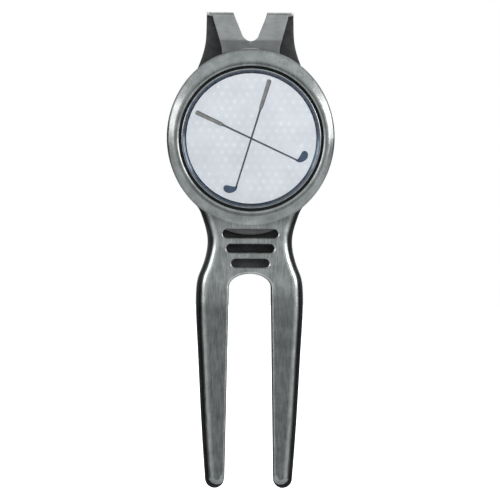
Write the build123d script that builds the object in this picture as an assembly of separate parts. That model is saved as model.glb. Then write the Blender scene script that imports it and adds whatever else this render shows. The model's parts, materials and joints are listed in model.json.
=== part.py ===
from build123d import *
import math
import os

# Golfer's divot repair tool: a cast fork with a round head, a magnetic ball marker in the head, and a
# folded spring clip riveted to its back.
#
# Every piece is drawn in a drawing frame and set into the part frame when it is written.
# Drawing frame: x to the right, y up, z towards the front, origin at the centre of the marker, on the
# flat back of the fork.
# Part frame: +Z up, front towards -Y, origin in the saddle inside the clip's fold, where the edge of a
# belt or pocket rests.

# ---- driving dimensions (mm) ----------------------------------------------------------------------
marker_diameter = 25.0          # a standard ball marker
marker_gap = 0.36               # radial clearance of the marker in its recess
head_width = 30.0
head_height = 31.9
head_rise = 0.25                # centre of the oval head above the centre of the marker
tip_drop = 62.55                # prong tips below the centre of the marker
clip_rise = 22.8                # top of the clip's fold above the centre of the marker

# fork, heights measured forward from its flat back
recess_floor = 2.3
ring_crest = 4.0
ring_shoulder = 2.9             # where the ring's outward slope meets its side
crest_land = 1.05               # width of the ring's crest before its edges are rounded
neck_front = 3.0
ledge_front = 1.3               # the narrow step that runs round the neck and prongs
tip_relief = 0.8                # depth taken off the back at the tips
relief_start = -27.0

# fork, seen from the front
head_join = math.radians(-49.4) # where the neck's side leaves the oval head
neck_curve = ((8.45, -14.3), (7.55, -18.6), (8.6, -23.2))   # half widths at heights, to the hips
hip_half = 9.6                  # widest half width, where the prongs start
hip_y = -29.4
prong_curve = ((9.34, -35.5), (8.66, -48.6))                # half widths at heights, below the hips
ledge_width = 0.45
wall_draft = 0.53               # how far the wall above the ledge leans in
tip_half = 7.82
tip_radius = 1.7
gap_top_half = 3.8
gap_tip_half = 4.375
arch_top = -24.2
arch_height = 2.4

# fork, rounded edges
front_round = 1.1               # outer edge of the neck and prongs
gap_round = 0.45                # edge of the gap between the prongs
back_round = 0.3
ledge_round = 0.15
shoulder_round = 0.9
crest_round = 0.9
recess_lip_round = 0.6

# slots through the neck, from the top down
slot_widths = (10.0, 8.66, 6.84)
slot_height = 1.57
slot_pitch = 2.65
first_slot_y = -17.0
slot_bevel = 0.2

# spring clip
sheet = 0.6
crease_y = 17.7
crease_radius = 1.2
lean = math.radians(15)         # slope of the leaf between the crease and the fold
fold_inner_radius = 0.5
fold_half_front = 6.75          # half the clip's width where the fold starts
fold_half_back = 7.8            # and from the top of the fold to the free leaf
notch_half = 3.2                # half the V notch's width at the top of the fold
notch_half_angle = math.radians(21.6)
notch_radius = 1.65
strip_half = 5.15               # fixed leaf
strip_end = -17.2
strip_end_radius = 11.0
flare_start = 16.2
plate_radius = 13.0             # free leaf
plate_top = math.radians(15)    # where the arms leave the plate
plate_foot = math.radians(-50)  # where the tongue leaves it
arm_curve = ((11.3, 8.6), (9.0, 13.6), (8.2, 16.4), (7.85, 18.9))   # half widths at heights
tongue_half = 5.7
tongue_top = -15.5
tongue_end = -23.6
tongue_end_radius = 6.8
lip_start = -20.6
lip_angle = math.radians(24)
lip_radius = 3.0
tip_gap = 0.9                   # between the two leaves where the lip starts

# rivets that hold the clip, one above the magnet and one below it
rivet_offset = 8.5
rivet_radius = 1.0
rivet_play = 0.05
pan_radius = 1.8
pan_height = 0.5
tail_radius = 1.7
tail_depth = 0.7

# magnet in its pocket under the recess floor
magnet_radius = 5.0
magnet_thickness = 1.45
magnet_play = 0.05
magnet_bevel = 0.15

# marker: a steel coin with a raised rim, a printed disc in the rim, and a clear dome over the disc
coin_face = 1.2
coin_rim_top = 1.6
coin_rim_crest = 12.3           # radius of the rim's crest
coin_bevel = 0.15
groove_width = 0.07             # between the printed disc and the foot of the rim's inner slope
groove_rise = 0.05              # height of that foot
insert_radius = 11.65
insert_thickness = 0.15
dome_edge = 0.2
dome_rise = 0.25

tolerance = 0.02                # when edges are told apart by their height

# ---- derived --------------------------------------------------------------------------------------
marker_radius = marker_diameter / 2
recess_radius = marker_radius + marker_gap

# Centre of the fold's arc.  The inner face of the leaning leaf is tangent to the fold's inner circle.
fold_middle = fold_inner_radius + sheet / 2
fold_y = clip_rise - fold_inner_radius - sheet
fold_z = -sheet - (fold_y - crease_y) * math.tan(lean) - fold_inner_radius / math.cos(lean)

# Slope of the free leaf, from the fold to tip_gap behind the fixed leaf where the lip starts.
leaf_drop = fold_y - lip_start
leaf_approach = -sheet - tip_gap - fold_z
leaf_slope = math.atan(leaf_approach / leaf_drop) + math.asin(
    fold_inner_radius / math.hypot(leaf_drop, leaf_approach)
)

saddle_y = fold_y + fold_inner_radius
part_frame = Plane(origin=(0, fold_z, -saddle_y), x_dir=(1, 0, 0), z_dir=(0, -1, 0))


def symmetric_face(right_chain):
    """Face between a chain of edges, which starts and ends on or beside x = 0, and its mirror image."""
    left_chain = [mirror(edge, about=Plane.YZ) for edge in right_chain]
    ends = (right_chain[0] @ 0, right_chain[-1] @ 1)
    closing = [Line(end, (-end.X, end.Y)) for end in ends if end.X > 1e-6]
    return make_face(right_chain + left_chain + closing)


def direction(angle):
    return (math.cos(angle), math.sin(angle))


def rounded(solid, radius, chosen):
    """The solid with its chosen edges rounded."""
    return fillet([edge for edge in solid.edges() if chosen(edge)], radius)


def at_height(edge, height):
    return abs(edge.center().Z - height) < tolerance


def runs_across(edge):
    """True for the short edges that run from front to back."""
    return abs((edge % 0.5).Z) > 0.5


# ---- cast fork ------------------------------------------------------------------------------------
def fork_outline(inset):
    """Neck and both prongs from the front, with the outer edge drawn in by inset."""
    half_w, half_h = head_width / 2, head_height / 2
    join_point = (half_w * math.cos(head_join) - inset, head_rise + half_h * math.sin(head_join))
    along_oval = (half_w * math.sin(head_join), -half_h * math.cos(head_join))
    hip = (hip_half - inset, hip_y)
    neck_points = [(half - inset, y) for half, y in neck_curve]
    waist = Spline([join_point, *neck_points, hip], tangents=[along_oval, (0, -1)])
    tip_turn = tip_radius - tip_drop
    tip_outer = (tip_half - inset, tip_turn)
    prong_points = [(half - inset, y) for half, y in prong_curve]
    shank = Spline([hip, *prong_points, tip_outer], tangents=[(0, -1), (-0.08, -1)])
    tip_inner = (gap_tip_half, tip_turn)
    tip_bottom = ((tip_outer[0] + tip_inner[0]) / 2, inset - tip_drop)
    tip = ThreePointArc(tip_outer, tip_bottom, tip_inner)
    arch_spring = arch_top - arch_height
    inner = Line(tip_inner, (gap_top_half, arch_spring))
    arch = EllipticalCenterArc(
        (0, arch_spring), gap_top_half, arch_height, start_angle=0, arc_size=90
    )
    return symmetric_face([waist, shank, tip, inner, arch])


def fork_blank():
    """Neck and prongs: a ledge all round, and above it a wall that leans in to the front face."""
    ledge = extrude(fork_outline(0), ledge_front)
    outer_curves = (GeomType.BSPLINE, GeomType.CIRCLE)
    ledge = rounded(
        ledge, ledge_round, lambda e: at_height(e, ledge_front) and e.geom_type in outer_curves
    )
    wall_foot = Pos(0, 0, ledge_front) * fork_outline(ledge_width)
    wall_top = Pos(0, 0, neck_front) * fork_outline(ledge_width + wall_draft)
    blank = ledge + loft([wall_foot, wall_top], ruled=True) - tip_relief_wedge()

    blank = rounded(blank, front_round, lambda e: is_front_edge(e) and not bounds_gap(e))
    return rounded(blank, gap_round, lambda e: is_front_edge(e) and bounds_gap(e))


def is_front_edge(edge):
    """True for the edges of the front face, but not for the straight one inside the head."""
    below_head = head_rise - head_height / 2 + 3
    return at_height(edge, neck_front) and edge.center().Y < below_head


def bounds_gap(edge):
    """True for the straight sides and the arch of the gap, told from the free curves outside."""
    return edge.geom_type in (GeomType.LINE, GeomType.ELLIPSE)


def tip_relief_wedge():
    """Wedge taken off the back of the prongs, so that they thin towards the tips."""
    end = -tip_drop - 1
    side = Polyline(
        (0, relief_start, 0), (0, end, tip_relief), (0, end, -1), (0, relief_start, -1), close=True
    )
    return extrude(make_face(side), head_width / 2, dir=(1, 0, 0), both=True)


def slots():
    """The slots through the neck, each with a bevelled front rim."""
    cutters = []
    for row, width in enumerate(slot_widths):
        centre = Pos(0, first_slot_y - row * slot_pitch, 0)
        slot = SlotOverall(width, slot_height)
        rim = SlotOverall(width + 2 * slot_bevel, slot_height + 2 * slot_bevel)
        bevel = loft([Pos(0, 0, neck_front - slot_bevel) * slot, Pos(0, 0, neck_front) * rim])
        cutters += [centre * extrude(slot, neck_front), centre * bevel]
    return cutters


def head():
    """Oval head: a straight side, then a rounded slope up to the round crest of the ring."""
    oval = Pos(0, head_rise, 0) * Ellipse(head_width / 2, head_height / 2)
    crest = Pos(0, 0, ring_crest) * Circle(recess_radius + crest_land)
    disc = extrude(oval, ring_shoulder) + loft([Pos(0, 0, ring_shoulder) * oval, crest])
    disc = rounded(disc, crest_round, lambda e: at_height(e, ring_crest))
    return rounded(disc, shoulder_round, lambda e: at_height(e, ring_shoulder))


def rivet_shank(play=0.0):
    """Shank from the back of the fixed leaf, and countersunk tail up to the recess floor."""
    shank = Pos(0, 0, -sheet) * extrude(Circle(rivet_radius + play), sheet + recess_floor)
    tail_foot = Pos(0, 0, recess_floor - tail_depth) * Circle(rivet_radius + play)
    tail_top = Pos(0, 0, recess_floor) * Circle(tail_radius + play)
    return shank + loft([tail_foot, tail_top])


def rivet(y):
    """Pan head on the back of the fixed leaf, shank and tail."""
    pan = Pos(0, 0, -sheet - pan_height) * extrude(Circle(pan_radius), pan_height)
    pan = fillet(pan.edges().group_by(Axis.Z)[0], 0.6 * pan_height)
    return Pos(0, y, 0) * (pan + rivet_shank())


def is_back_outline(edge):
    """True for the edges round the back, but not for the straight lines where the relief starts."""
    crosses = edge.geom_type == GeomType.LINE and abs((edge % 0.5).X) > 0.5
    return edge.center().Z < tip_relief + tolerance and not runs_across(edge) and not crosses


def fork_body():
    body = rounded(fork_blank() + head(), back_round, is_back_outline) - slots()
    body -= Pos(0, 0, recess_floor) * extrude(Circle(recess_radius), ring_crest)
    body = rounded(body, recess_lip_round, lambda e: at_height(e, ring_crest))
    pocket_floor = recess_floor - magnet_thickness - magnet_play
    body -= Pos(0, 0, pocket_floor) * extrude(Circle(magnet_radius + magnet_play), ring_crest)
    for y in (rivet_offset, -rivet_offset):
        body -= Pos(0, y, 0) * rivet_shank(rivet_play)
    return body


def marker_magnet():
    disc = extrude(Circle(magnet_radius), magnet_thickness)
    return Pos(0, 0, recess_floor - magnet_thickness - magnet_play) * chamfer(
        disc.edges(), magnet_bevel
    )


# ---- spring clip ----------------------------------------------------------------------------------
def side_point(y, z):
    return Vector(0, y, z)


def on_fold(y_part, z_part):
    """Point on the fold's middle circle, in the given direction from its centre."""
    return side_point(fold_y + fold_middle * y_part, fold_z + fold_middle * z_part)


def band(path):
    """Wide band of the clip's sheet along a path in the plane x = 0."""
    section = Plane(origin=path @ 0, x_dir=(1, 0, 0), z_dir=path % 0)
    return sweep(section * Rectangle(2 * plate_radius + 2, sheet), path=path)


def through(face):
    """Prism of a front-view face, through the whole depth of the clip."""
    return Pos(0, 0, -10) * extrude(face, 20)


def notch():
    """Prism of the V notch with its round bottom, which crosses the fold."""
    apex_y = clip_rise - notch_half / math.tan(notch_half_angle)
    top_y = clip_rise + 2
    top_half = (top_y - apex_y) * math.tan(notch_half_angle)
    wedge = make_face(Polyline((0, apex_y), (top_half, top_y), (-top_half, top_y), close=True))
    return through(fillet(wedge.vertices().sort_by(Axis.Y)[0], notch_radius))


def round_end(half, end_y, radius):
    """Right half of a leaf's rounded end."""
    rise = radius - math.sqrt(radius**2 - half**2)
    middle_rise = radius - math.sqrt(radius**2 - (half / 2) ** 2)
    return ThreePointArc((0, end_y), (half / 2, end_y + middle_rise), (half, end_y + rise))


fold_front = on_fold(math.sin(lean), math.cos(lean))
fold_back = on_fold(-math.sin(leaf_slope), -math.cos(leaf_slope))


def clip_fixed_leaf():
    """Strip against the fork's back, with a crease above which it leans back towards the fold."""
    middle = -sheet / 2
    path = FilletPolyline(
        side_point(strip_end - 1, middle),
        side_point(crease_y + sheet / 2 * math.tan(lean / 2), middle),
        fold_front,
        radius=crease_radius,
    )
    end = round_end(strip_half, strip_end, strip_end_radius)
    side = Polyline(
        end @ 1, (strip_half, flare_start), (fold_half_front, fold_y), (fold_half_front, clip_rise)
    )
    leaf = band(path) & through(symmetric_face([end, *side.edges()]))
    leaf -= notch()
    for y in (rivet_offset, -rivet_offset):
        leaf -= Pos(0, y, 0) * rivet_shank(rivet_play)
    return leaf


def clip_fold():
    """The two arcs that join the leaves, one each side of the notch.  They widen up to their tops."""
    arc = ThreePointArc(fold_front, on_fold(1, 0), fold_back)
    front, back = fold_front.Z + sheet, fold_back.Z - sheet
    corners = [
        (fold_half_front, 0, front),
        (fold_half_front, 0, fold_front.Z),
        (fold_half_back, 0, fold_z),
        (fold_half_back, 0, back),
    ]
    mirrored = [(-x, y, z) for x, y, z in reversed(corners)]
    arms = extrude(make_face(Polyline(*corners, *mirrored, close=True)), clip_rise + 1, dir=(0, 1, 0))
    return (band(arc) & arms) - notch()


def clip_free_leaf():
    """Spring leaf: arms below the fold, a round plate behind the head, and a tongue with a lip."""
    slope_y, slope_z = -math.cos(leaf_slope), math.sin(leaf_slope)
    lip_turn = lip_angle - leaf_slope
    run = (fold_back.Y - lip_start) / math.cos(leaf_slope)
    lip_corner = fold_back + side_point(slope_y * run, slope_z * run)
    lip_run = lip_start - tongue_end + 1
    lip_end = lip_corner + side_point(-lip_run, -lip_run * math.tan(lip_turn))
    path = FilletPolyline(fold_back, lip_corner, lip_end, radius=lip_radius)

    end = round_end(tongue_half, tongue_end, tongue_end_radius)
    tongue = Line(end @ 1, (tongue_half, tongue_top))
    plate = ThreePointArc(
        *(Vector(*direction(a)) * plate_radius for a in (plate_foot, 0, plate_top))
    )
    blend = Spline(
        [tongue @ 1, plate @ 0], tangents=[(0, 1), (-math.sin(plate_foot), math.cos(plate_foot))]
    )
    arm = Spline(
        [plate @ 1, *arm_curve, (fold_half_back, fold_y)],
        tangents=[(-math.sin(plate_top), math.cos(plate_top)), (-0.04, 1)],
    )
    top = Line(arm @ 1, (fold_half_back, clip_rise))
    leaf = band(path) & through(symmetric_face([end, tongue, blend, plate, arm, top]))
    return leaf - notch()


# ---- ball marker ----------------------------------------------------------------------------------
def turned(*points):
    """Solid turned about the drawing frame's z axis from (radius, height) points above the recess."""
    profile = Polyline(*((r, 0, z) for r, z in points), close=True)
    return Pos(0, 0, recess_floor) * revolve(make_face(profile), Axis.Z)


def marker_coin():
    rim_foot = insert_radius + groove_width
    return turned(
        (0, 0),
        (marker_radius - coin_bevel, 0),
        (marker_radius, coin_bevel),
        (marker_radius, coin_rim_top - coin_bevel),
        (coin_rim_crest, coin_rim_top),
        (rim_foot, coin_face + groove_rise),
        (rim_foot, coin_face),
        (0, coin_face),
    )


def marker_insert():
    top = coin_face + insert_thickness
    return turned((0, coin_face), (insert_radius, coin_face), (insert_radius, top), (0, top))


def marker_dome():
    """Clear dome: a short straight edge, then a shallow spherical top."""
    foot = coin_face + insert_thickness
    edge = foot + dome_edge
    sphere_radius = (insert_radius**2 + dome_rise**2) / (2 * dome_rise)
    half_way = insert_radius / 2
    half_rise = dome_rise - sphere_radius + math.sqrt(sphere_radius**2 - half_way**2)
    top = ThreePointArc(
        (insert_radius, 0, edge), (half_way, 0, edge + half_rise), (0, 0, edge + dome_rise)
    )
    sides = Polyline(top @ 1, (0, 0, foot), (insert_radius, 0, foot), top @ 0)
    return Pos(0, 0, recess_floor) * revolve(make_face([top, *sides.edges()]), Axis.Z)


def main():
    nodes = {
        "fork_body": fork_body(),
        "marker_magnet": marker_magnet(),
        "clip_fixed_leaf": clip_fixed_leaf(),
        "clip_fold": clip_fold(),
        "clip_free_leaf": clip_free_leaf(),
        "rivet_upper": rivet(rivet_offset),
        "rivet_lower": rivet(-rivet_offset),
        "marker_coin": marker_coin(),
        "marker_insert": marker_insert(),
        "marker_dome": marker_dome(),
    }
    os.makedirs("parts", exist_ok=True)
    for name, shape in nodes.items():
        export_step(part_frame.location * shape, f"parts/{name}.step")


main()
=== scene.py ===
import json
import math

import bmesh
import bpy
import numpy as np
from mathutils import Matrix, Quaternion, Vector


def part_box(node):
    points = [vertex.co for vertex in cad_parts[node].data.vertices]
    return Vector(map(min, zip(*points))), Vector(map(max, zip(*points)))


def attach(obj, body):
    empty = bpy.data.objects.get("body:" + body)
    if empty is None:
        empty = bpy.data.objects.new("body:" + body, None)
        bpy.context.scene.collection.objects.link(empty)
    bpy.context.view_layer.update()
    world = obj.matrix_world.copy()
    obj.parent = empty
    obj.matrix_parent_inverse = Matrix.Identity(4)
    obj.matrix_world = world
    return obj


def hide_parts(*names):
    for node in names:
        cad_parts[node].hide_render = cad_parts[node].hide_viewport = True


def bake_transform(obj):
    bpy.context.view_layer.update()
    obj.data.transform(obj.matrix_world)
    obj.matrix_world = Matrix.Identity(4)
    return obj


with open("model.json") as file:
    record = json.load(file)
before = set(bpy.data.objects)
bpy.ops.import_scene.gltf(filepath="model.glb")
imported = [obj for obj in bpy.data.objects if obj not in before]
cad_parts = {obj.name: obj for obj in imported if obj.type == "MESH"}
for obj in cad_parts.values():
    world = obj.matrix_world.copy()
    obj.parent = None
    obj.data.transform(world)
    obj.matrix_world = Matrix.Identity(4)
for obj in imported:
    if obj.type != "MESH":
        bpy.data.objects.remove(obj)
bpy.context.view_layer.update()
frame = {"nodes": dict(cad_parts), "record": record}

# Golfer's divot repair tool.  The part frame has +Z up the tool's length and the front towards -Y.
# Its origin is in the saddle inside the clip's fold.

mm = 0.001

# ---- the spring clip's sheet ------------------------------------------------------------------------
sheet = 0.6 * mm
fold_inner = 0.5 * mm
lean = math.radians(15)
crease_radius = 1.2 * mm
lip_radius = 3.0 * mm
lip_angle = math.radians(24)
lip_z = -42.8 * mm              # where the free leaf's lip starts
notch_bottom_z = -4.65 * mm
notch_radius = 1.65 * mm
notch_half_angle = math.radians(21.6)
strip_half = 5.15 * mm          # fixed leaf
strip_end_radius = 11.0 * mm
flare_z = -6.0 * mm
fold_half_front = 6.75 * mm
fold_half_back = 7.8 * mm
plate_radius = 13.0 * mm        # free leaf
plate_foot_angle = math.radians(50)
plate_top_angle = math.radians(15)
shoulder_z, shoulder_half, shoulder_slope = -10.3 * mm, 9.75 * mm, -0.44
neck_z, neck_half, neck_slope = -4.9 * mm, 8.0 * mm, -0.14
fold_slope = -0.04
tongue_half = 5.7 * mm
tongue_top_z = -37.7 * mm
tongue_end_radius = 6.8 * mm
rivet_offset = 8.5 * mm
rivet_hole = 1.05 * mm
sheared_edge = 0.12 * mm
fold_steps = 32
row_step = 0.55 * mm            # along the sheet
notch_step = 0.5 * mm           # along the notch's straight sides

# ---- what the frame gives ---------------------------------------------------------------------------
fork_low, fork_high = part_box("fork_body")
coin_low, coin_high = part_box("marker_coin")
insert_low, insert_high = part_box("marker_insert")
dome_low, dome_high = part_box("marker_dome")
fixed_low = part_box("clip_fixed_leaf")[0]
free_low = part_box("clip_free_leaf")[0]
marker_x = (coin_low.x + coin_high.x) / 2
marker_z = (coin_low.z + coin_high.z) / 2
back_mount = next(m for m in frame["record"]["mounts"] if m["name"] == "clip_back_face")
leaf_slope = -math.asin(back_mount["axis"][2])


# ---- small mesh tools -------------------------------------------------------------------------------
def new_object(name, vertices, faces, material):
    mesh = bpy.data.meshes.new(name)
    mesh.from_pydata([tuple(v) for v in vertices], [], faces)
    mesh.update()
    obj = bpy.data.objects.new(name, mesh)
    bpy.context.scene.collection.objects.link(obj)
    mesh.materials.append(material)
    return obj


def apply_modifiers(obj):
    """Turns the object's modifiers into plain mesh."""
    graph = bpy.context.evaluated_depsgraph_get()
    mesh = bpy.data.meshes.new_from_object(obj.evaluated_get(graph))
    obj.modifiers.clear()
    obj.data = mesh


def shade(obj, sharp_degrees):
    """Smooth shading that breaks at edges sharper than the angle."""
    obj.data.polygons.foreach_set("use_smooth", [True] * len(obj.data.polygons))
    obj.data.set_sharp_from_angle(angle=math.radians(sharp_degrees))


def rounded_profile(corners, steps=5):
    """Polyline through (x, y, radius) corners, with an arc at each inner corner."""
    points = [Vector(corners[0][:2])]
    for before, corner, after in zip(corners, corners[1:], corners[2:]):
        here = Vector(corner[:2])
        to_before = (Vector(before[:2]) - here).normalized()
        to_after = (Vector(after[:2]) - here).normalized()
        half = to_before.angle(to_after) / 2
        radius = corner[2]
        if radius == 0:
            points.append(here)
            continue
        reach = radius / math.tan(half)
        centre = here + (to_before + to_after).normalized() * radius / math.sin(half)
        first = here + to_before * reach - centre
        last = here + to_after * reach - centre
        sweep = math.pi - 2 * half
        for step in range(steps + 1):
            angle = sweep * step / steps
            share = math.sin(sweep - angle) / math.sin(sweep), math.sin(angle) / math.sin(sweep)
            points.append(centre + first * share[0] + last * share[1])
    points.append(Vector(corners[-1][:2]))
    return points


def lathe(name, profile, material, segments=192):
    """Turns (radius, y) points about the marker's axis.  A radius of 0 closes the end."""
    vertices, rings = [], []
    for radius, y in profile:
        if radius == 0:
            rings.append([len(vertices)] * segments)
            vertices.append((marker_x, y, marker_z))
            continue
        rings.append(list(range(len(vertices), len(vertices) + segments)))
        for k in range(segments):
            turn = 2 * math.pi * k / segments
            x = marker_x + radius * math.cos(turn)
            vertices.append((x, y, marker_z + radius * math.sin(turn)))
    faces = []
    for ring, after in zip(rings, rings[1:]):
        for k in range(segments):
            quad = (ring[k], ring[k - 1], after[k - 1], after[k])
            faces.append(tuple(dict.fromkeys(quad)))
    return new_object(name, vertices, faces, material)


# ---- materials --------------------------------------------------------------------------------------
class Nodes:
    """The node tree of a new material or world, with short calls that add a node and give its output."""

    def __init__(self, name, kind="Material"):
        blocks = bpy.data.materials if kind == "Material" else bpy.data.worlds
        self.block = blocks.new(name)
        self.block.use_nodes = True
        self.tree = self.block.node_tree
        self.tree.nodes.clear()
        self.output = self.tree.nodes.new("ShaderNodeOutput" + kind)
        place = self.tree.nodes.new("ShaderNodeTexCoord")
        self.place = place.outputs["Object" if kind == "Material" else "Generated"]

    def add(self, kind, settings=(), **inputs):
        node = self.tree.nodes.new("ShaderNode" + kind)
        for key, value in dict(settings).items():
            setattr(node, key, value)
        for key, value in inputs.items():
            self.set(node, key.replace("_", " "), value)
        return node

    def set(self, node, key, value):
        socket = node.inputs[key]
        if isinstance(value, bpy.types.NodeSocket):
            self.tree.links.new(value, socket)
        else:
            socket.default_value = value

    def stretched(self, scale):
        """The place on the object, in metres, multiplied along each axis."""
        node = self.add("Mapping", Vector=self.place)
        node.inputs["Scale"].default_value = scale
        return node.outputs["Vector"]

    def noise(self, size, detail=3.0, roughness=0.5, stretch=(1, 1, 1)):
        """Noise with features of about the given size in metres, longer along axes stretched above 1."""
        where = self.stretched([1 / (size * s) for s in stretch])
        node = self.add("TexNoise", Vector=where, Scale=1.0, Detail=detail, Roughness=roughness)
        return node.outputs["Fac"]

    def spread(self, value, low, high, from_low=0.3, from_high=0.7):
        """Maps a value from one range to another."""
        node = self.add("MapRange", Value=value)
        node.inputs["From Min"].default_value = from_low
        node.inputs["From Max"].default_value = from_high
        node.inputs["To Min"].default_value = low
        node.inputs["To Max"].default_value = high
        return node.outputs["Result"]

    def mix(self, factor, first, second, blend="MIX"):
        node = self.add("Mix", {"data_type": "RGBA", "blend_type": blend})
        self.set(node, 0, factor)
        self.set(node, 6, first)
        self.set(node, 7, second)
        return node.outputs[2]

    def maths(self, operation, first, second=0.0, third=0.0):
        node = self.add("Math", {"operation": operation})
        for socket, value in zip(range(3), (first, second, third)):
            self.set(node, socket, value)
        return node.outputs["Value"]

    def vector(self, operation, first, second=(0, 0, 0)):
        node = self.add("VectorMath", {"operation": operation})
        self.set(node, 0, first)
        self.set(node, 1, second)
        return node.outputs["Value" if operation in ("LENGTH", "DOT_PRODUCT") else "Vector"]

    def bump(self, layers):
        """Bumps on bumps: (height, depth in metres, strength)."""
        normal = None
        for height, depth, strength in layers:
            node = self.add("Bump", Height=height, Strength=strength, Distance=depth)
            if normal is not None:
                self.tree.links.new(normal, node.inputs["Normal"])
            normal = node.outputs["Normal"]
        return normal

    def mix_shaders(self, factor, first, second):
        node = self.add("MixShader")
        for socket, value in zip(node.inputs, (factor, first, second)):
            self.tree.links.new(value, socket)
        return node.outputs["Shader"]

    def surface(self, shader):
        self.tree.links.new(shader, self.output.inputs["Surface"])


def painted_light_share(n):
    """How bright the fork's colour is kept, as painted light: fully on the neck's face, a painted
    highlight there, about half on the ring and prongs, and hardly at all on the walls below their faces
    and on the back, which is painted shade."""
    tip_thickness, neck_thickness = 2.2 * mm, 3.0 * mm
    tip_z, arch_z = -84.6 * mm, -49.1 * mm
    place = n.add("SeparateXYZ", Vector=n.place).outputs
    thickness = n.spread(place["Z"], tip_thickness, neck_thickness, tip_z, arch_z)
    height = n.maths("SUBTRACT", fork_high.y, place["Y"])
    # painted shade: the colour falls to 0.16 within 0.75 mm below the face, on the walls and on the back
    on_face = n.spread(n.maths("SUBTRACT", thickness, height), 1.0, 0.16, 0.0, 0.75 * mm)
    # painted highlight: the neck's face, between the ring and the prongs, keeps full brightness while the
    # other faces get 0.55
    below_ring = n.spread(place["Z"], 1.0, 0.0, -38.5 * mm, -36.5 * mm)
    above_prongs = n.spread(place["Z"], 0.0, 1.0, -53.0 * mm, -47.5 * mm)
    neck = n.maths("MULTIPLY", below_ring, above_prongs)
    return n.maths("MULTIPLY", on_face, n.maths("MULTIPLY_ADD", neck, 0.45, 0.55))


def worn_metal(name, light, dark, rough_low, rough_high, grain=(1, 1, 1), depth=1.0, with_painted_light=False):
    """Satin plated metal: fine grain, cloudy tone, brushed streaks and slightly wavy casting.  With
    painted light, the colour is multiplied by the fork's painted light share: painted shade where it is
    low, painted highlight where it is high."""
    n = Nodes(name)
    cloud = n.noise(2.6 * mm, detail=4, roughness=0.6)
    streak = n.noise(0.22 * mm, detail=2, stretch=grain)
    speck = n.noise(0.1 * mm, detail=1)
    wave = n.noise(1.1 * mm, detail=2)
    tone = n.maths("ADD", n.maths("MULTIPLY", cloud, 0.75), n.maths("MULTIPLY", streak, 0.25))
    colour = n.mix(n.spread(tone, 0.0, 1.0, 0.40, 0.60), (*dark, 1), (*light, 1))
    if with_painted_light:
        # painted light multiplied into the colour: shade on the walls and back, highlight on the neck's
        # face
        share = painted_light_share(n)
        grey = n.add("CombineColor", Red=share, Green=share, Blue=share).outputs["Color"]
        colour = n.mix(1.0, colour, grey, "MULTIPLY")
    rough = n.maths("ADD", n.maths("MULTIPLY", streak, 0.7), n.maths("MULTIPLY", speck, 0.3))
    normal = n.bump([
        (wave, 0.02 * mm, 0.5 * depth),
        (streak, 0.004 * mm, 0.5 * depth),
        (speck, 0.002 * mm, 0.5 * depth),
    ])
    shader = n.add(
        "BsdfPrincipled",
        Base_Color=colour,
        Roughness=n.spread(rough, rough_low, rough_high, 0.35, 0.65),
        Normal=normal,
    )
    shader.inputs["Metallic"].default_value = 1.0
    n.surface(shader.outputs["BSDF"])
    return n.block


def coin_metal():
    """Polished steel, with painted shade, dark and bluish, in the groove beside the print and under it."""
    n = Nodes("coin_steel_painted_shade")
    from_centre = n.vector("SUBTRACT", n.place, (marker_x, 0, marker_z))
    radius = n.vector("LENGTH", n.vector("MULTIPLY", from_centre, (1, 0, 1)))
    outer = (coin_high.x - coin_low.x) / 2
    on_rim = n.spread(radius, 0.0, 1.0, outer - 0.36 * mm, outer - 0.16 * mm)
    depth = n.add("SeparateXYZ", Vector=n.place).outputs["Y"]
    on_back = n.spread(depth, 0.0, 1.0, insert_high.y + 0.3 * mm, coin_high.y - 0.3 * mm)
    polished = n.maths("MAXIMUM", on_rim, on_back)
    cloud = n.noise(0.8 * mm, detail=3)
    worn = n.mix(n.spread(cloud, 0.0, 1.0), (0.30, 0.32, 0.34, 1), (0.44, 0.46, 0.48, 1))
    # painted shade: a dark bluish colour for the groove inside the rim and under the print
    dark = n.mix(n.spread(cloud, 0.0, 1.0), (0.05, 0.07, 0.10, 1), (0.09, 0.105, 0.125, 1))
    fine = n.noise(0.1 * mm, detail=1)
    shader = n.add(
        "BsdfPrincipled",
        Base_Color=n.mix(polished, dark, worn),
        Roughness=n.spread(fine, 0.16, 0.28),
        Normal=n.bump([(cloud, 0.01 * mm, 0.3), (fine, 0.002 * mm, 0.3)]),
    )
    shader.inputs["Metallic"].default_value = 1.0
    n.surface(shader.outputs["BSDF"])
    return n.block


def dome_material():
    """Clear resin: light passes, and the surface only adds a soft reflection."""
    n = Nodes("clear_resin")
    normal = n.bump([(n.noise(2.5 * mm), 0.003 * mm, 0.4)])
    facing = n.add("LayerWeight", Blend=0.5, Normal=normal).outputs["Facing"]
    reflected = n.maths("MULTIPLY_ADD", n.maths("POWER", facing, 5.0), 0.9, 0.04)
    clear = n.add("BsdfTransparent", Color=(0.985, 0.99, 1.0, 1))
    gloss = n.add("BsdfGlossy", Color=(1, 1, 1, 1), Roughness=0.08, Normal=normal)
    n.surface(n.mix_shaders(reflected, clear.outputs["BSDF"], gloss.outputs["BSDF"]))
    return n.block


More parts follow.
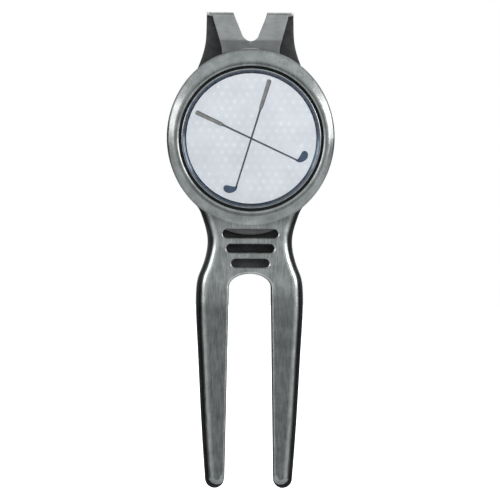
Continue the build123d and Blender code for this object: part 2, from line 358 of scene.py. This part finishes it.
def print_material():
    """White printed film with a faint golf-ball pattern: dimples packed in staggered rows."""
    n = Nodes("printed_film")
    pitch = 1.5 * mm
    row = pitch * math.sqrt(3)
    dimple_inner, dimple_outer = 0.1 * mm, 0.5 * mm
    nearest = None
    for shift in (0.0, 0.5):
        node = n.add("Mapping", Vector=n.place)
        node.inputs["Scale"].default_value = (1 / pitch, 0, 1 / row)
        node.inputs["Location"].default_value = (shift + 0.5, 0.5, shift + 0.5)
        offset = n.vector("SUBTRACT", n.vector("FRACTION", node.outputs["Vector"]), (0.5, 0.5, 0.5))
        distance = n.vector("LENGTH", n.vector("MULTIPLY", offset, (pitch, 0, row)))
        nearest = distance if nearest is None else n.maths("MINIMUM", nearest, distance)
    fading = n.spread(n.noise(2.2 * mm, detail=2), 0.0, 1.0)
    dimple = n.maths("MULTIPLY", n.spread(nearest, 1.0, 0.0, dimple_inner, dimple_outer), fading)
    cloud = n.spread(n.noise(3.5 * mm, detail=3), 0.0, 0.6)
    tone = n.maths("ADD", n.maths("MULTIPLY", dimple, 0.6), n.maths("MULTIPLY", cloud, 0.7))
    colour = n.mix(tone, (0.66, 0.675, 0.68, 1), (0.86, 0.87, 0.87, 1))
    normal = n.bump([(dimple, 0.03 * mm, 0.3), (n.noise(0.12 * mm), 0.004 * mm, 0.3)])
    shader = n.add("BsdfPrincipled", Base_Color=colour, Roughness=0.42, Normal=normal)
    n.surface(shader.outputs["BSDF"])
    return n.block


def ink_material(name, light, dark):
    """Printed ink: a cloudy tone with the small dots of a print."""
    n = Nodes(name)
    dots = n.noise(0.14 * mm, detail=1)
    cloud = n.noise(0.9 * mm, detail=2)
    tone = n.maths("ADD", n.maths("MULTIPLY", dots, 0.4), n.maths("MULTIPLY", cloud, 0.6))
    colour = n.mix(n.spread(tone, 0.0, 1.0, 0.35, 0.65), (*dark, 1), (*light, 1))
    normal = n.bump([(dots, 0.003 * mm, 0.3)])
    shader = n.add("BsdfPrincipled", Base_Color=colour, Roughness=0.5, Normal=normal)
    n.surface(shader.outputs["BSDF"])
    return n.block


# ---- spring clip: one folded sheet ------------------------------------------------------------------
def clip_route():
    """Middle of the sheet in the plane x = 0, as (y, z) points from the fixed leaf's end over the fold."""
    fold_middle = fold_inner + sheet / 2
    fold_centre = Vector((0, -fold_inner))
    front = fold_centre + fold_middle * Vector((-math.cos(lean), math.sin(lean)))
    back = fold_centre + fold_middle * Vector((math.cos(leaf_slope), -math.sin(leaf_slope)))

    leaf_y = fork_high.y + sheet / 2
    crease_z = front.y - (front.x - leaf_y) / math.tan(lean)
    fixed_end = (leaf_y, fixed_low.z, 0)
    fixed = rounded_profile([fixed_end, (leaf_y, crease_z, crease_radius), (*front, 0)])

    turn = math.pi - lean + leaf_slope
    fold = []
    for step in range(1, fold_steps):
        angle = math.pi - lean - turn * step / fold_steps
        fold.append(fold_centre + fold_middle * Vector((math.cos(angle), math.sin(angle))))

    run = (back.y - lip_z) / math.cos(leaf_slope)
    corner = back - run * Vector((math.sin(leaf_slope), math.cos(leaf_slope)))
    drop = lip_z - free_low.z
    end = corner + Vector((drop * math.tan(lip_angle - leaf_slope), -drop))
    free = rounded_profile([(*back, 0), (*corner, lip_radius), (*end, 0)])
    return fixed, fold, free


class Route:
    """A route with its length, so that a point and its normal can be asked for at any distance."""

    def __init__(self, points):
        self.points = np.array([tuple(p) for p in points])
        steps = np.linalg.norm(np.diff(self.points, axis=0), axis=1)
        self.distance = np.concatenate(([0.0], np.cumsum(steps)))

    def at(self, distance):
        y = np.interp(distance, self.distance, self.points[:, 0])
        z = np.interp(distance, self.distance, self.points[:, 1])
        return float(y), float(z)


def notch_half(z):
    """Half the width of the V notch with its round bottom, at a height."""
    above = z - notch_bottom_z
    if above <= 0:
        return 0.0
    side_starts = notch_radius * (1 - math.sin(notch_half_angle))
    if above < side_starts:
        return math.sqrt(notch_radius**2 - (notch_radius - above) ** 2)
    side_half = notch_radius * math.cos(notch_half_angle)
    return side_half + (above - side_starts) * math.tan(notch_half_angle)


def hermite(z, z0, z1, half0, half1, slope0, slope1):
    """Smooth curve between two heights, with a half width and a slope at each."""
    t = (z - z0) / (z1 - z0)
    span = z1 - z0
    return (
        half0 * (1 + 2 * t) * (1 - t) ** 2
        + slope0 * span * t * (1 - t) ** 2
        + half1 * t * t * (3 - 2 * t)
        + slope1 * span * t * t * (t - 1)
    )


def fixed_half(z):
    """Half width of the fixed leaf: a straight strip that flares above the head."""
    share = (z - flare_z) / (-fold_inner - flare_z)
    return strip_half + min(max(share, 0.0), 1.0) * (fold_half_front - strip_half)


def free_half(z):
    """Half width of the free leaf: a tongue, a round plate behind the head, and arms up to the fold."""
    plate_foot_z = marker_z - plate_radius * math.sin(plate_foot_angle)
    plate_top_z = marker_z + plate_radius * math.sin(plate_top_angle)
    if z <= tongue_top_z:
        return tongue_half
    if z < plate_foot_z:
        foot_half = plate_radius * math.cos(plate_foot_angle)
        foot_slope = math.tan(plate_foot_angle)
        return hermite(z, tongue_top_z, plate_foot_z, tongue_half, foot_half, 0, foot_slope)
    if z < plate_top_z:
        return math.sqrt(plate_radius**2 - (z - marker_z) ** 2)
    top_half = plate_radius * math.cos(plate_top_angle)
    top_slope = -math.tan(plate_top_angle)
    if z < shoulder_z:
        return hermite(
            z, plate_top_z, shoulder_z, top_half, shoulder_half, top_slope, shoulder_slope
        )
    if z < neck_z:
        return hermite(
            z, shoulder_z, neck_z, shoulder_half, neck_half, shoulder_slope, neck_slope
        )
    return hermite(z, neck_z, -fold_inner, neck_half, fold_half_back, neck_slope, fold_slope)


def spaced(start, end, step):
    """Even steps from the start up to the end, which is left out."""
    count = max(1, round(abs(end - start) / step))
    return [start + (end - start) * k / count for k in range(count)]


def notch_heights(top):
    """Heights that follow the notch's round bottom closely and its straight sides loosely."""
    turn = math.pi / 2 - notch_half_angle
    steps = 14
    heights = [
        notch_bottom_z + notch_radius * (1 - math.cos(turn * k / steps)) for k in range(steps + 1)
    ]
    return heights + spaced(heights[-1], top, notch_step)[1:]


def end_rise(half, radius):
    """How far an end's round edge rises at a distance from the middle."""
    return radius - math.sqrt(radius**2 - half**2)


def belt_clip(outside, inside, edge):
    """The clip's sheet as a grid of rows along its route and columns from the notch to the outer edge,
    mirrored, thickened, drilled and rounded at its sheared edges."""
    fixed, fold, free = clip_route()
    route = Route(fixed + fold + free)
    fixed_route, free_route = Route(fixed), Route(free)
    fold_start = fixed_route.distance[-1]
    fold_end = route.distance[-1] - free_route.distance[-1]
    total = route.distance[-1]

    # Rows of the sheet from one end to the other: (distance, inner half width, outer half width).
    rows = []
    fixed_z = fixed_route.points[:, 1]
    below_notch = np.interp(notch_bottom_z, fixed_z, fixed_route.distance)
    for distance in spaced(0.0, below_notch, row_step):
        rows.append((distance, 0.0, fixed_half(route.at(distance)[1])))
    for z in notch_heights(fixed_z[-1]):
        distance = float(np.interp(z, fixed_z, fixed_route.distance))
        rows.append((distance, notch_half(z), fixed_half(z)))
    fold_start_y = fixed_route.points[-1, 0]
    for distance in spaced(fold_start, fold_end, (fold_end - fold_start) / fold_steps):
        y, z = route.at(distance)
        share = min(1.0, 1 - y / fold_start_y)
        outer = fold_half_front * (1 - share) + fold_half_back * share
        rows.append((distance, notch_half(z), outer))
    free_z = free_route.points[::-1, 1]
    free_distance = fold_end + free_route.distance[::-1]
    for z in reversed(notch_heights(free_z[-1])):
        distance = float(np.interp(z, free_z, free_distance))
        rows.append((distance, notch_half(z), free_half(z)))
    above_end = float(np.interp(notch_bottom_z, free_z, free_distance))
    for distance in [*spaced(above_end, total, row_step)[1:], total]:
        rows.append((distance, 0.0, free_half(route.at(distance)[1])))

    columns = 14
    end_reach = 4 * mm
    vertices, faces = [], []
    for side in (1, -1):
        first = len(vertices)
        for distance, inner, outer in rows:
            for k in range(columns + 1):
                x = inner + (outer - inner) * k / columns
                near_start = max(0.0, 1 - distance / end_reach)
                near_end = max(0.0, 1 - (total - distance) / end_reach)
                moved = distance + near_start * end_rise(min(x, strip_half), strip_end_radius)
                moved -= near_end * end_rise(min(x, tongue_half), tongue_end_radius)
                y, z = route.at(moved)
                vertices.append((side * x, y, z))
        for row in range(len(rows) - 1):
            for k in range(columns):
                a = first + row * (columns + 1) + k
                b = a + columns + 1
                quad = (a, a + 1, b + 1, b)
                faces.append(quad if side == 1 else quad[::-1])
    clip = new_object("belt_clip", vertices, faces, outside)
    clip.data.materials.append(inside)
    clip.data.materials.append(edge)
    bm = bmesh.new()
    bm.from_mesh(clip.data)
    bmesh.ops.remove_doubles(bm, verts=bm.verts, dist=0.002 * mm)
    bm.to_mesh(clip.data)
    bm.free()

    thick = clip.modifiers.new("thickness", "SOLIDIFY")
    thick.thickness = sheet
    thick.offset = 0
    thick.use_even_offset = True
    thick.material_offset = 1
    thick.material_offset_rim = 2
    apply_modifiers(clip)
    for z in (marker_z + rivet_offset, marker_z - rivet_offset):
        drill(clip, z)
    bevel = clip.modifiers.new("sheared_edges", "BEVEL")
    bevel.width = sheared_edge
    bevel.segments = 2
    bevel.limit_method = "ANGLE"
    bevel.angle_limit = math.radians(40)
    apply_modifiers(clip)
    shade(clip, 35)
    return clip


def drill(clip, z):
    """Rivet hole through the fixed leaf."""
    bm = bmesh.new()
    bmesh.ops.create_cone(
        bm, cap_ends=True, segments=48, radius1=rivet_hole, radius2=rivet_hole, depth=2 * sheet
    )
    mesh = bpy.data.meshes.new("rivet_hole")
    bm.to_mesh(mesh)
    bm.free()
    cutter = bpy.data.objects.new("rivet_hole", mesh)
    cutter.rotation_euler = (math.pi / 2, 0, 0)
    cutter.location = (0, fork_high.y + sheet / 2, z)
    bpy.context.scene.collection.objects.link(cutter)
    bpy.context.view_layer.update()
    cut = clip.modifiers.new("rivet_hole", "BOOLEAN")
    cut.object = cutter
    cut.solver = "EXACT"
    apply_modifiers(clip)
    bpy.data.objects.remove(cutter)


# ---- marker -----------------------------------------------------------------------------------------
def marker_coin(material):
    """Steel coin with a raised round rim.  Heights are measured from its back towards the front."""
    back = coin_high.y
    radius = (coin_high.x - coin_low.x) / 2
    rim = back - coin_low.y
    face = back - insert_high.y
    rim_width, print_gap = 0.3 * mm, 0.07 * mm
    wall = (insert_high.x - insert_low.x) / 2 + print_gap
    corners = [
        (0, 0, 0),
        (radius, 0, 0.15 * mm),
        (radius, rim, 0.14 * mm),
        (radius - rim_width, rim, 0.12 * mm),
        (wall, face, 0.05 * mm),
        (0, face, 0),
    ]
    profile = [(r, back - h) for r, h in rounded_profile(corners, steps=6)]
    coin = lathe("marker_coin_turned", profile, material)
    shade(coin, 30)
    return coin


def marker_insert(material):
    """Printed film, with a cut edge."""
    back, front = insert_high.y, insert_low.y
    radius = (insert_high.x - insert_low.x) / 2
    corners = [(0, back, 0), (radius, back, 0), (radius, front, 0.03 * mm), (0, front, 0)]
    film = lathe("marker_print", rounded_profile(corners, steps=3), material)
    shade(film, 30)
    return film


def marker_dome(material):
    """Clear cast dome with a rounded edge."""
    off_print, edge_height, edge_round = 0.01 * mm, 0.2 * mm, 0.05 * mm
    foot, top = dome_high.y - off_print, dome_low.y
    radius = (dome_high.x - dome_low.x) / 2
    edge = foot - edge_height
    rise = edge - top
    sphere = (radius**2 + rise**2) / (2 * rise)
    profile = [(0, foot), (radius, foot), (radius, edge + edge_round)]
    steps = 24
    for step in range(steps + 1):
        r = (radius - 0.03 * mm) * (1 - step / steps)
        profile.append((r, top + sphere - math.sqrt(sphere**2 - r**2)))
    dome = lathe("marker_dome_cast", profile, material)
    shade(dome, 50)
    return dome


# The print is a generic pair of crossed golf clubs.  Each outline is drawn along the club: distances
# from the crossing, with half widths, and the head as a closed outline beside the shaft's end.
ink_depth = 0.03 * mm
grip_half = 0.4 * mm
shaft_half = 0.17 * mm


def ink_shape(name, outline, axis, material, lift):
    """Thin printed shape.  The outline's (along, across) points run along the axis from the crossing."""
    along = Vector((axis[0], 0, axis[1])).normalized()
    across = Vector((along.z, 0, -along.x))
    front = insert_low.y - lift
    centre = Vector((marker_x, 0, marker_z))
    count = len(outline)
    vertices = []
    for y in (front, insert_low.y + ink_depth):
        for a, c in outline:
            point = centre + along * a + across * c
            vertices.append((point.x, y, point.z))
    faces = [tuple(range(count))[::-1], tuple(range(count, 2 * count))]
    for k in range(count):
        after = (k + 1) % count
        faces.append((k, after, after + count, k + count))
    shape = new_object(name, vertices, faces, material)
    bm = bmesh.new()
    bm.from_mesh(shape.data)
    bmesh.ops.recalc_face_normals(bm, faces=bm.faces)
    bmesh.ops.triangulate(bm, faces=[f for f in bm.faces if len(f.verts) > 4])
    bm.to_mesh(shape.data)
    bm.free()
    return shape


def strip_outline(start, end, half_start, half_end, round_end=True):
    """A tapered strip along the axis, with its start rounded."""
    points = [(end, half_end), (end, -half_end)]
    steps = 8 if round_end else 1
    for k in range(steps + 1):
        angle = -math.pi / 2 + math.pi * k / steps
        points.append((start - half_start * 0.6 * math.cos(angle), half_start * math.sin(angle)))
    return points


def smooth_loop(corners, steps=6):
    """Closed smooth curve through the corners (Catmull-Rom)."""
    points = []
    count = len(corners)
    for k in range(count):
        p0, p1, p2, p3 = (Vector(corners[(k + j) % count]) for j in (-1, 0, 1, 2))
        for step in range(steps):
            t = step / steps
            points.append(
                0.5 * (
                    2 * p1
                    + (p2 - p0) * t
                    + (2 * p0 - 5 * p1 + 4 * p2 - p3) * t**2
                    + (3 * p1 - p0 - 3 * p2 + p3) * t**3
                )
            )
    return points


def head_outline(start, side):
    """A wooden club's head from the front: narrow at the shaft, and full and round towards the toe."""
    corners = (
        (-0.35, -0.14), (0.30, -0.20), (0.95, 0.25), (1.35, 1.05), (1.15, 1.85), (0.55, 2.15),
        (0.10, 1.80), (0.02, 1.05), (-0.10, 0.25),
    )
    points = smooth_loop([(a * mm, c * mm) for a, c in corners])
    return [(start + point.x, side * point.y) for point in points]


def golf_club(number, angle, side, inks):
    """One printed club through the middle of the marker: grip, ferrule, shaft and head."""
    axis = (math.cos(angle), math.sin(angle))
    grip_end, grip_start = -10.8 * mm, -5.8 * mm
    shaft_end = 9.2 * mm
    lift = 0.012 * mm * number
    return [
        ink_shape(
            f"print_club_{number}_grip",
            strip_outline(grip_end, grip_start, grip_half, grip_half * 0.85),
            axis, inks["grip"], lift,
        ),
        ink_shape(
            f"print_club_{number}_grip_shade",
            [
                (grip_end, -0.55 * grip_half), (grip_start, -0.5 * grip_half),
                (grip_start, -0.85 * grip_half), (grip_end, -grip_half),
            ],
            axis, inks["grip_shade"], lift + 0.01 * mm,
        ),
        ink_shape(
            f"print_club_{number}_ferrule",
            strip_outline(grip_start, grip_start + 0.5 * mm, grip_half * 0.7, shaft_half, False),
            axis, inks["ferrule"], lift,
        ),
        ink_shape(
            f"print_club_{number}_shaft",
            strip_outline(grip_start + 0.4 * mm, shaft_end, shaft_half, shaft_half * 0.85, False),
            axis, inks["shaft"], lift,
        ),
        ink_shape(
            f"print_club_{number}_head", head_outline(shaft_end, side), axis, inks["head"], lift
        ),
    ]


# ---- studio -----------------------------------------------------------------------------------------
def studio_world():
    """White where the camera looks.  The metal reflects a grey studio, which is darker behind the camera
    and in a band at eye level behind the object."""
    n = Nodes("studio", "World")
    parts = n.add("SeparateXYZ", Vector=n.place).outputs
    ramp = n.add("ValToRGB", Fac=n.spread(parts["Z"], 0, 1, -1, 1))
    stops = (                       # (height from straight down to straight up, grey)
        (0.0, 0.50), (0.25, 0.72), (0.45, 0.48), (0.55, 0.56), (0.75, 0.62), (0.9, 0.80), (1.0, 0.4)
    )
    while len(ramp.color_ramp.elements) < len(stops):
        ramp.color_ramp.elements.new(0.5)
    for element, (position, grey) in zip(ramp.color_ramp.elements, stops):
        element.position = position
        element.color = (grey * 0.97, grey, grey * 1.03, 1)
    tilt = math.radians(14)
    to_camera = n.vector("DOT_PRODUCT", n.place, (0, -math.cos(tilt), -math.sin(tilt)))
    camera_shade = n.spread(to_camera, 1.6, 0.36, 0.86, 0.995)
    behind = n.spread(parts["Y"], 0.0, 0.97, -0.15, 0.2)
    level = n.spread(n.maths("ABSOLUTE", parts["Z"]), 1.0, 0.25, 0.06, 0.3)
    back_shade = n.maths("SUBTRACT", 1.0, n.maths("MULTIPLY", behind, level))
    studio = n.add(
        "Background",
        Color=ramp.outputs["Color"],
        Strength=n.maths("MULTIPLY", camera_shade, back_shade),
    )
    backdrop = n.add("Background", Color=(1, 1, 1, 1))
    seen = n.add("LightPath").outputs["Is Camera Ray"]
    n.surface(n.mix_shaders(seen, studio.outputs[0], backdrop.outputs[0]))
    bpy.context.scene.world = n.block


def soft_light(name, place, aim, size, power):
    """Rectangular area light that faces a point."""
    data = bpy.data.lights.new(name, "AREA")
    data.shape = "RECTANGLE"
    data.size, data.size_y = size
    data.energy = power
    light = bpy.data.objects.new(name, data)
    bpy.context.scene.collection.objects.link(light)
    light.location = place
    light.rotation_euler = (Vector(aim) - Vector(place)).to_track_quat("-Z", "Y").to_euler()
    light.visible_camera = False


def studio_floor():
    """Plain pale round floor under the prongs' tips, which the metal doesn't reflect."""
    radius = 3.0
    count = 96
    angles = [2 * math.pi * k / count for k in range(count)]
    vertices = [(radius * math.cos(a), radius * math.sin(a), fork_low.z) for a in angles]
    n = Nodes("pale_floor")
    seen = n.add("BsdfDiffuse", Color=(0.93, 0.93, 0.93, 1))
    lift = n.add("Emission", Color=(1, 1, 1, 1), Strength=0.75)
    bright = n.add("AddShader")
    n.tree.links.new(seen.outputs[0], bright.inputs[0])
    n.tree.links.new(lift.outputs[0], bright.inputs[1])
    unlit = n.add("BsdfTransparent")
    eye = n.add("LightPath").outputs["Is Camera Ray"]
    n.surface(n.mix_shaders(eye, unlit.outputs[0], bright.outputs[0]))
    floor = new_object("floor", vertices, [tuple(range(count))], n.block)


def studio_camera():
    """Level camera a little to the left of the front."""
    distance = 0.9
    azimuth = math.radians(-3)
    roll = math.radians(0.35)
    field = 89.3 * mm               # width seen at the marker's face
    aim_left, aim_drop = 0.125 * mm, 19.93 * mm
    sensor = 36
    aim = Vector((marker_x - aim_left, coin_low.y, marker_z - aim_drop))
    data = bpy.data.cameras.new("camera")
    data.sensor_width = sensor
    data.lens = sensor * distance / field
    data.clip_start = 0.01
    data.clip_end = 10
    camera = bpy.data.objects.new("camera", data)
    bpy.context.scene.collection.objects.link(camera)
    camera.location = aim + distance * Vector((math.sin(azimuth), -math.cos(azimuth), 0))
    facing = (aim - camera.location).to_track_quat("-Z", "Y")
    camera.rotation_euler = (facing @ Quaternion((0, 0, 1), roll)).to_euler()
    bpy.context.scene.camera = camera


# ---- the piece list ---------------------------------------------------------------------------------
# The fork's colour carries painted shade on its walls and back and a painted highlight on its neck's face.
fork_metal = worn_metal(
    "nickel_painted_light", (0.545, 0.565, 0.55), (0.38, 0.40, 0.392), 0.25, 0.36,
    grain=(1, 1, 9), depth=0.45, with_painted_light=True,
)
clip_steel = worn_metal(
    "satin_spring_steel", (0.32, 0.325, 0.32), (0.25, 0.255, 0.25), 0.3, 0.4,
    grain=(9, 1, 1), depth=0.7,
)
# The clip sheet's inner faces get a much darker copy of the steel: painted shade between the leaves.
clip_inside_shade = worn_metal(
    "spring_steel_painted_shade", (0.09, 0.09, 0.09), (0.055, 0.055, 0.055), 0.42, 0.55, depth=0.7
)
clip_edge = worn_metal(
    "sheared_steel", (0.34, 0.345, 0.34), (0.25, 0.255, 0.25), 0.34, 0.46, grain=(1, 6, 1), depth=0.6
)
rivet_steel = worn_metal("rivet_nickel", (0.42, 0.42, 0.41), (0.33, 0.33, 0.33), 0.25, 0.35, depth=0.6)
magnet_nickel = worn_metal("bright_nickel", (0.72, 0.71, 0.69), (0.6, 0.6, 0.58), 0.1, 0.18, depth=0.3)
coin_steel = coin_metal()

cad_materials = {
    "fork_body": fork_metal,
    "marker_magnet": magnet_nickel,
    "rivet_upper": rivet_steel,
    "rivet_lower": rivet_steel,
}
for node, material in cad_materials.items():
    mesh = frame["nodes"][node].data
    for index in range(len(mesh.materials)):
        mesh.materials[index] = material

clip = belt_clip(clip_steel, clip_inside_shade, clip_edge)
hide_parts("clip_fixed_leaf", "clip_fold", "clip_free_leaf")
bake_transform(clip)

coin = marker_coin(coin_steel)
film = marker_insert(print_material())
dome = marker_dome(dome_material())
for piece, node, slot in (
    (coin, "marker_coin", "coin_steel"),
    (film, "marker_insert", "printed_insert"),
    (dome, "marker_dome", "clear_dome"),
):
    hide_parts(node)
    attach(piece, "marker")

inks = {
    "grip": ink_material("ink_grip", (0.24, 0.24, 0.22), (0.12, 0.12, 0.11)),
    "grip_shade": ink_material("ink_grip_shade", (0.10, 0.10, 0.10), (0.07, 0.07, 0.075)),
    "ferrule": ink_material("ink_ferrule", (0.10, 0.11, 0.13), (0.07, 0.08, 0.10)),
    "shaft": ink_material("ink_shaft", (0.075, 0.075, 0.09), (0.04, 0.04, 0.055)),
    "head": ink_material("ink_head", (0.04, 0.07, 0.12), (0.025, 0.045, 0.08)),
}
club_angles = (math.radians(-107), math.radians(-25))
head_sides = (1, -1)
for number, (angle, side) in enumerate(zip(club_angles, head_sides), start=1):
    for shape in golf_club(number, angle, side, inks):
        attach(shape, "marker")

studio_world()
studio_floor()
studio_camera()
head_centre = (0, 0, marker_z)
soft_light("key_right", (0.30, -0.10, 0.06), head_centre, (0.30, 0.15), 0.72)
soft_light("fill_left", (-0.30, -0.10, 0.06), head_centre, (0.30, 0.15), 0.46)
soft_light("back_top", (0.15, 0.55, 0.6), head_centre, (0.5, 0.3), 0.7)
bpy.context.scene.view_settings.view_transform = "Standard"
